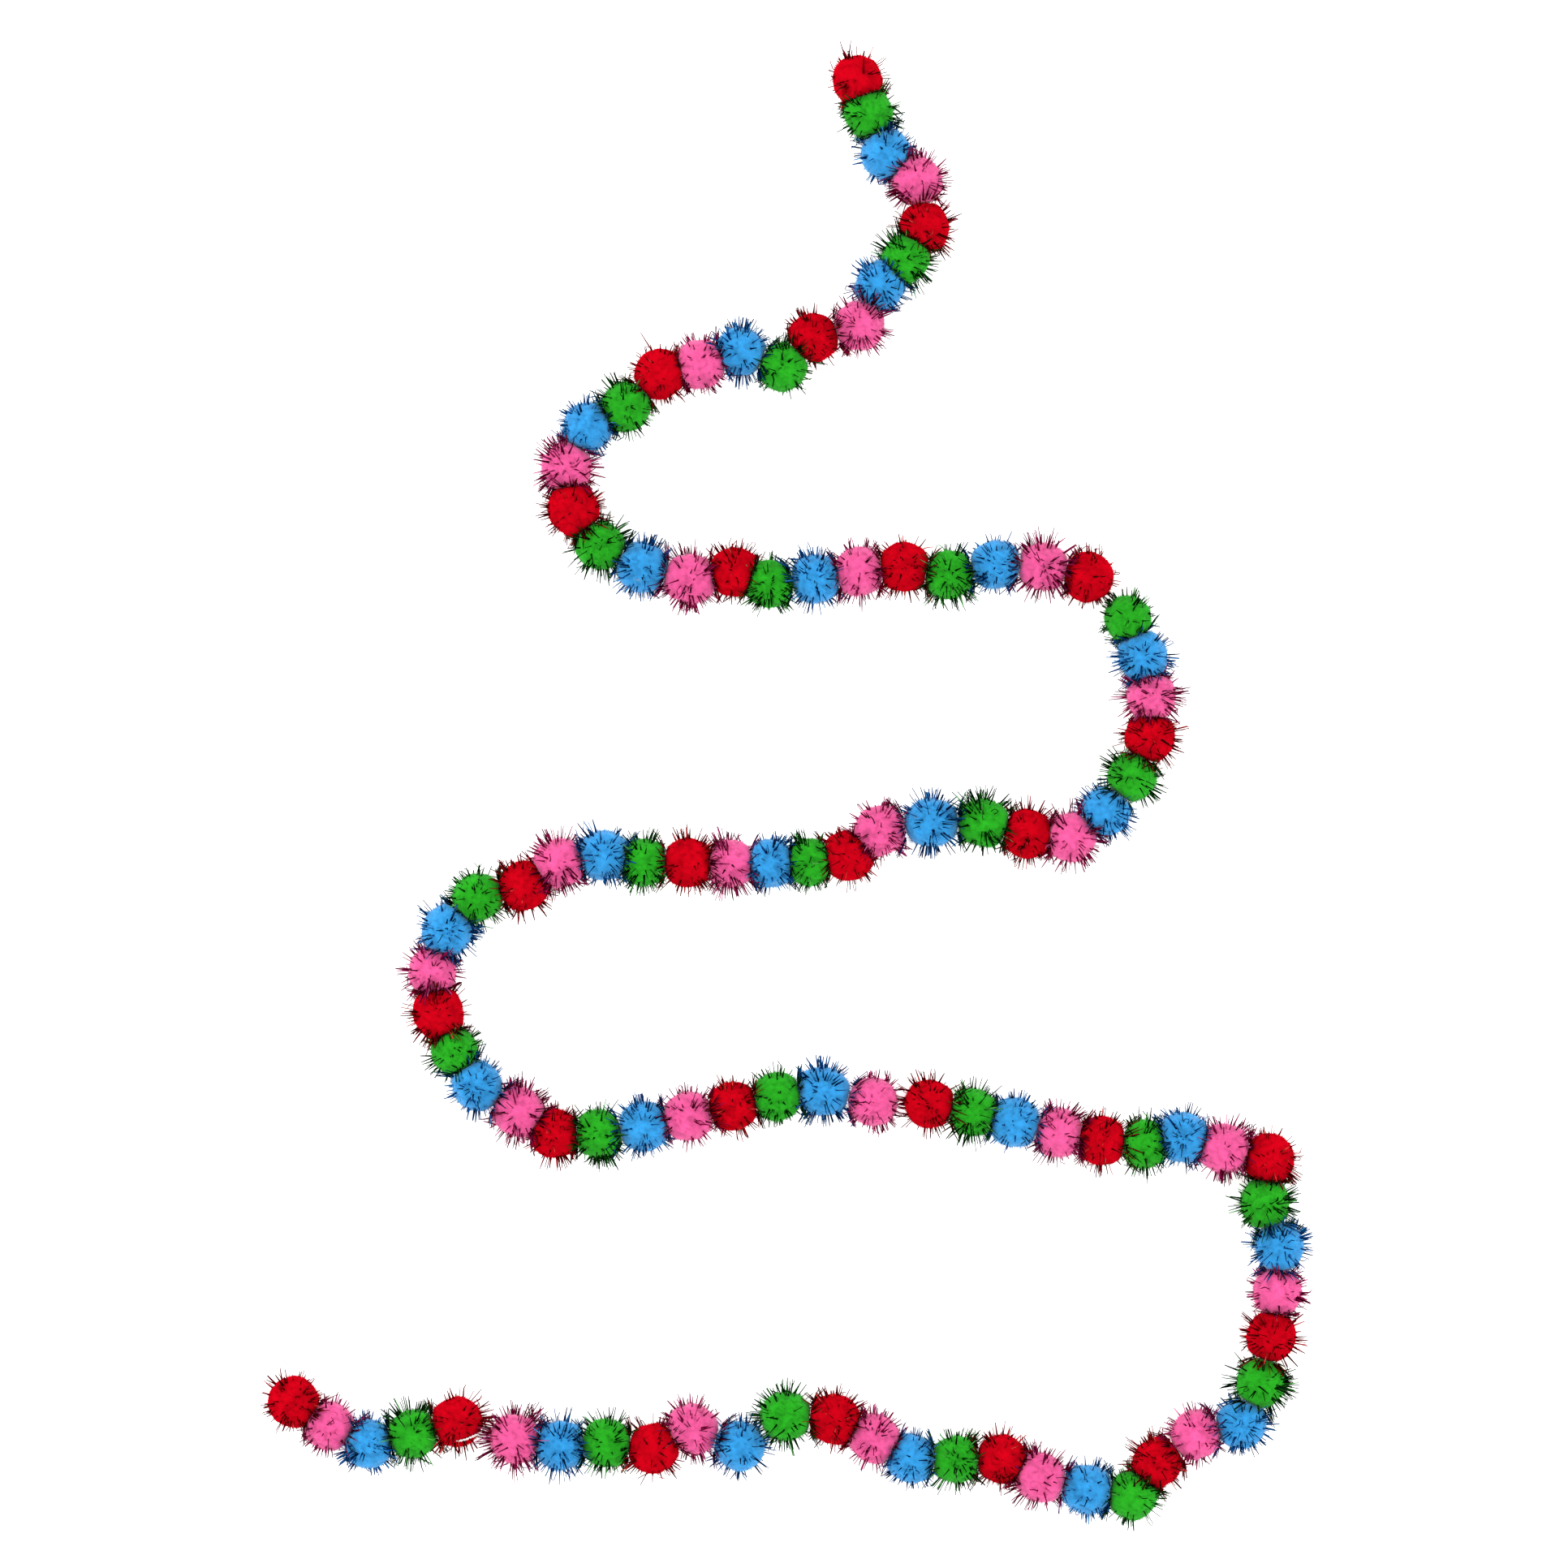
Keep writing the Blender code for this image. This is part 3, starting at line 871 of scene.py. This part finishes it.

# %% [markdown]
# ## What the pieces stand for
#
# Every piece rides on the model's one body. A pile or tinsel piece stands for each solid that holds a
# ball of its colour, and those solids are hidden.

# %% Tie the pieces to the solids
def solids_with(kind):
    """The names of the solids that hold a ball of this kind."""
    found = []
    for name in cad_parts:
        numbers = [int(digits) for digits in re.findall(r"\d+", name)]
        if any(balls[number - 1].kind is kind for number in numbers):
            found.append(name)
    return sorted(found)


for kind in REPEAT:
    for part in ("pile", "tinsel"):
        piece = pieces[kind.name, part]
        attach(piece, "root")
        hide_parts(*solids_with(kind))
    print(kind.name, "stands for", len(solids_with(kind)), "solids")
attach(thread, "root")
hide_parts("thread")

# %% [markdown]
# ## The finish of the pile
#
# The pile is a matt fibre with an even dye, so it has no shine of its own. Its life comes from small
# differences: painted shade makes the roots darker than the tips, some fibres took the dye better than
# others, and the very edge glows a little. The tone and depth that each point carries drive a few mixes
# of the base colour, the depth a painted shade.

# %% A maker for node trees
LIGHT = 1.25                   # how bright a plain white surface comes out in this scene


def new_material(name):
    material = bpy.data.materials.new(name)
    material.use_nodes = True
    tree = material.node_tree
    return material, tree, tree.nodes["Principled BSDF"]


def read_number(tree, label):
    """The output of a node that reads one of the points' own numbers."""
    node = tree.nodes.new("ShaderNodeAttribute")
    node.attribute_name = label
    return node.outputs["Fac"]


def ramp(tree, source, stops):
    """A colour ramp over a number, from pairs of a position and a colour."""
    node = tree.nodes.new("ShaderNodeValToRGB")
    elements = node.color_ramp.elements
    while len(elements) < len(stops):
        elements.new(1.0)
    for element, (position, colour) in zip(elements, stops):
        element.position = position
        element.color = (*colour, 1.0)
    tree.links.new(source, node.inputs["Fac"])
    return node.outputs["Color"]


def multiply(tree, a, b):
    node = tree.nodes.new("ShaderNodeMix")
    node.data_type = "RGBA"
    node.blend_type = "MULTIPLY"
    node.inputs["Factor"].default_value = 1.0
    tree.links.new(a, node.inputs["A"])
    tree.links.new(b, node.inputs["B"])
    return node.outputs["Result"]


def fine_bump(tree, shader, scale, strength, distance):
    """Fine bumps from noise, for fibres too small to model."""
    place = tree.nodes.new("ShaderNodeTexCoord")
    noise = tree.nodes.new("ShaderNodeTexNoise")
    noise.inputs["Scale"].default_value = scale
    noise.inputs["Detail"].default_value = 3.0
    bump = tree.nodes.new("ShaderNodeBump")
    bump.inputs["Strength"].default_value = strength
    bump.inputs["Distance"].default_value = distance
    tree.links.new(place.outputs["Object"], noise.inputs["Vector"])
    tree.links.new(noise.outputs["Fac"], bump.inputs["Height"])
    tree.links.new(bump.outputs["Normal"], shader.inputs["Normal"])


# %% Pile in four colours
PILE_COLOURS = {
    # as seen in even light, in linear numbers
    "red": (0.552, 0.0010, 0.0085),
    "green": (0.0210, 0.384, 0.0145),
    "blue": (0.032, 0.323, 0.730),
    "pink": (0.863, 0.102, 0.332),
}
PILE_GLOW = {"red": 0.0, "green": 0.08, "blue": 0.24, "pink": 0.24}


def scaled(colour, by):
    return tuple(min(channel * by, 1.0) for channel in colour)


def pile_material(name):
    colour = scaled(PILE_COLOURS[name], 1.0 / LIGHT)
    material, tree, shader = new_material(f"{name}_pile_finish")
    # Painted shade: the depth number darkens the colour deep in the pile and lightens it towards the tips.
    painted_depth_shade = ramp(tree, read_number(tree, "depth"), [
        (0.25, scaled(colour, 0.55)),
        (0.60, colour),
        (1.00, scaled(colour, 1.16)),
    ])
    uneven = ramp(tree, read_number(tree, "tone"), [(0.0, (0.78, 0.78, 0.78)), (1.0, (1.18, 1.18, 1.18))])
    tree.links.new(multiply(tree, painted_depth_shade, uneven), shader.inputs["Base Color"])
    shader.inputs["Roughness"].default_value = 0.95
    shader.inputs["Specular IOR Level"].default_value = 0.0
    shader.inputs["Sheen Weight"].default_value = PILE_GLOW[name]
    shader.inputs["Sheen Roughness"].default_value = 0.5
    fine_bump(tree, shader, 3200.0, 0.25, 0.1 * MM)
    return material


for kind in REPEAT:
    pieces[kind.name, "pile"].data.materials.append(pile_material(kind.name))

# %% [markdown]
# ## The finish of the tinsel
#
# Foil is a thin metal skin coloured with dye, so it mirrors whatever is around it in its own colour. Its
# light and shade are also painted into that colour here: most strips get a painted shade that looks almost
# black, and a few a bright painted glint. The tone of each strip picks its darkness, so that neighbours in
# a sheaf differ, and painted shade makes each strip a little darker towards its tip.

# %% Tinsel in four colours
TINSEL_COLOURS = {
    # dark, middle and bright strips as seen, with light and shade painted in: the dark ones a painted shade,
    # the bright ones a painted glint
    "red": ((0.085, 0.001, 0.003), (0.25, 0.002, 0.006), (0.85, 0.06, 0.05)),
    "green": ((0.001, 0.012, 0.002), (0.004, 0.065, 0.005), (0.12, 0.55, 0.10)),
    "blue": ((0.002, 0.020, 0.080), (0.007, 0.100, 0.34), (0.07, 0.42, 0.88)),
    "pink": ((0.100, 0.001, 0.018), (0.33, 0.007, 0.085), (0.88, 0.14, 0.42)),
}


def tinsel_material(name):
    dark, middle, bright = (scaled(colour, 1.0 / LIGHT) for colour in TINSEL_COLOURS[name])
    material, tree, shader = new_material(f"{name}_tinsel_finish")
    # Painted shade and glints: the strip's tone picks a dark, middle or bright colour.
    foil = ramp(tree, read_number(tree, "tone"), [
        (0.00, dark),
        (0.32, dark),
        (0.45, middle),
        (0.90, middle),
        (0.96, bright),
    ])
    # Painted shade, a little darker towards a strip's tip.
    shaded = ramp(tree, read_number(tree, "depth"), [(0.0, (1.0, 1.0, 1.0)), (1.0, (0.80, 0.80, 0.80))])
    tree.links.new(multiply(tree, foil, shaded), shader.inputs["Base Color"])
    shader.inputs["Metallic"].default_value = 0.85
    shader.inputs["Roughness"].default_value = 0.42
    shader.inputs["Specular IOR Level"].default_value = 0.2
    shader.inputs["Specular Tint"].default_value = (0.25, 0.25, 0.25, 1.0)
    fine_bump(tree, shader, 900.0, 0.2, 0.2 * MM)
    return material


for kind in REPEAT:
    pieces[kind.name, "tinsel"].data.materials.append(tinsel_material(kind.name))

# %% Thread of white cotton
material, tree, shader = new_material("thread_finish")
cotton = ramp(tree, read_number(tree, "tone"), [(0.0, (0.66, 0.65, 0.63)), (1.0, (0.84, 0.83, 0.81))])
tree.links.new(cotton, shader.inputs["Base Color"])
shader.inputs["Roughness"].default_value = 0.85
shader.inputs["Sheen Weight"].default_value = 0.15
fine_bump(tree, shader, 4000.0, 0.4, 0.1 * MM)
thread.data.materials.append(material)

# %% [markdown]
# ## Table, light and camera
#
# The garland is seen from straight above, on a white table that the light washes out. Even light from all
# round a white studio keeps the balls' colours flat and their shadows faint. The table also glows a
# little, a painted light that fades the balls' shadows on it and lights them from below, or the balls
# would stand in a grey shade. Two large lamps add a little direction and give the foil something to mirror.

# %% A plain table
TABLE_HALF = 6.0
table_mesh = bpy.data.meshes.new("table")
corners = [(TABLE_HALF * x, TABLE_HALF * y, 0.0) for x, y in ((-1, -1), (1, -1), (1, 1), (-1, 1))]
table_mesh.from_pydata(corners, [], [(0, 1, 2, 3)])
table = bpy.data.objects.new("table", table_mesh)
bpy.context.scene.collection.objects.link(table)
material, tree, shader = new_material("table_finish")
shader.inputs["Base Color"].default_value = (0.90, 0.90, 0.90, 1.0)
# Painted light: the table glows, so that the balls' shadows on it fade to white.
shader.inputs["Emission Color"].default_value = (1.0, 1.0, 1.0, 1.0)
shader.inputs["Emission Strength"].default_value = 0.55
shader.inputs["Roughness"].default_value = 0.9
shader.inputs["Specular IOR Level"].default_value = 0.1
table_mesh.materials.append(material)

# %% Even light and two lamps
world = bpy.data.worlds.new("studio")
bpy.context.scene.world = world
world.use_nodes = True
world.node_tree.nodes["Background"].inputs["Color"].default_value = (1.0, 1.0, 1.0, 1.0)
world.node_tree.nodes["Background"].inputs["Strength"].default_value = 1.35


def lamp(name, place, aim, width, power):
    """A square soft lamp that looks at a point."""
    data = bpy.data.lights.new(name, "AREA")
    data.shape = "SQUARE"
    data.size = width
    data.energy = power
    thing = bpy.data.objects.new(name, data)
    bpy.context.scene.collection.objects.link(thing)
    way = np.array(aim) - np.array(place)
    thing.location = place
    thing.rotation_mode = "QUATERNION"
    thing.rotation_quaternion = Vector(way).to_track_quat("-Z", "Y")


lamp("lamp_left", (-1.6, 0.9, 1.5), (0.0, 0.0, 0.0), 0.8, 18.0)
lamp("lamp_right", (1.7, -0.6, 1.2), (0.0, 0.0, 0.0), 0.8, 10.0)

# %% The camera
PICTURE_WIDTH = 631.2 * MM     # of the table that the picture spans, at the balls' middles
CAMERA_DISTANCE = 2.0
SENSOR = 36.0
camera_data = bpy.data.cameras.new("camera")
camera_data.sensor_width = SENSOR
camera_data.lens = SENSOR * CAMERA_DISTANCE / PICTURE_WIDTH
camera = bpy.data.objects.new("camera", camera_data)
bpy.context.scene.collection.objects.link(camera)
camera.location = (-0.35 * MM, 1.36 * MM, MIDDLE_HEIGHT + CAMERA_DISTANCE)
bpy.context.scene.camera = camera
bpy.context.scene.view_settings.view_transform = "Standard"
print("camera", tuple(camera.location), "lens", round(camera_data.lens, 1), "mm")
